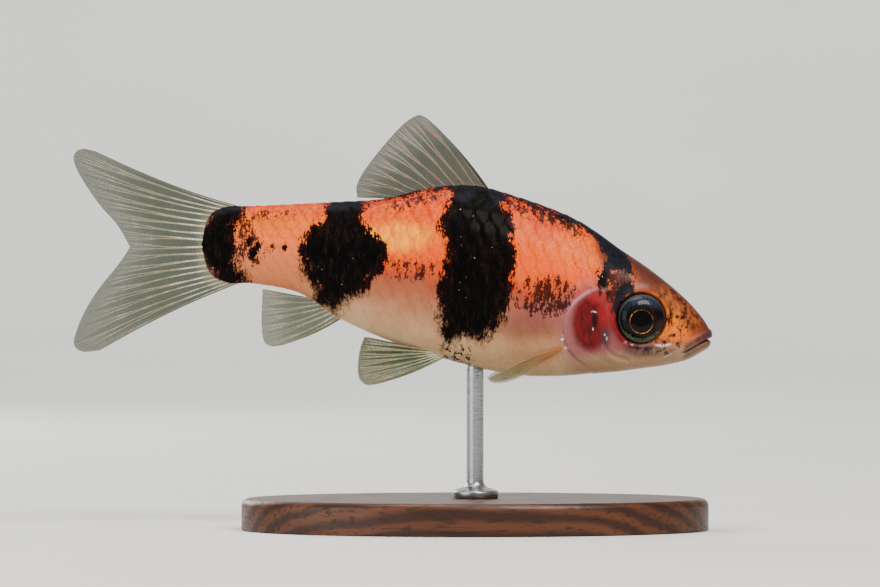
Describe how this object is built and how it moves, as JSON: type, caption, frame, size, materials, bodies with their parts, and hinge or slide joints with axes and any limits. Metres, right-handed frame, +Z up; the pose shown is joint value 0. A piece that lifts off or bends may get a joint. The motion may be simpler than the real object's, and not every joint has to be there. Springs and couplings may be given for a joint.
{
  "type": "melon barb fish model",
  "caption": "Life-size still model of a small striped stream fish, swimming level, held by one slim rod on a flat oval base.",
  "frame": {"origin": "on the floor, under the middle of the whole length and height box", "axes": "+X from the tail towards the nose, +Y to the fish's left, +Z up"},
  "size_m": [0.0601, 0.027, 0.0391],
  "materials": {
    "skin": "wet gloss over fine scales, orange with black bands",
    "fin": "thin clear membrane with pale rays",
    "eye": "polished, with a thin gold ring",
    "stand_wood": "satin dark walnut",
    "stand_steel": "fine brushed"
  },
  "bodies": {
    "root": {"head": "skin", "trunk": "skin", "tail_stalk": "skin", "dorsal_fin": "fin", "anal_fin": "fin", "tail_fin_upper": "fin", "tail_fin_lower": "fin", "pectoral_fin_left": "fin", "pectoral_fin_right": "fin", "pelvic_fin_left": "fin", "pelvic_fin_right": "fin", "eye_left": "eye", "eye_right": "eye", "stand_base": "stand_wood", "stand_rod": "stand_steel"}
  },
  "joints": []
}
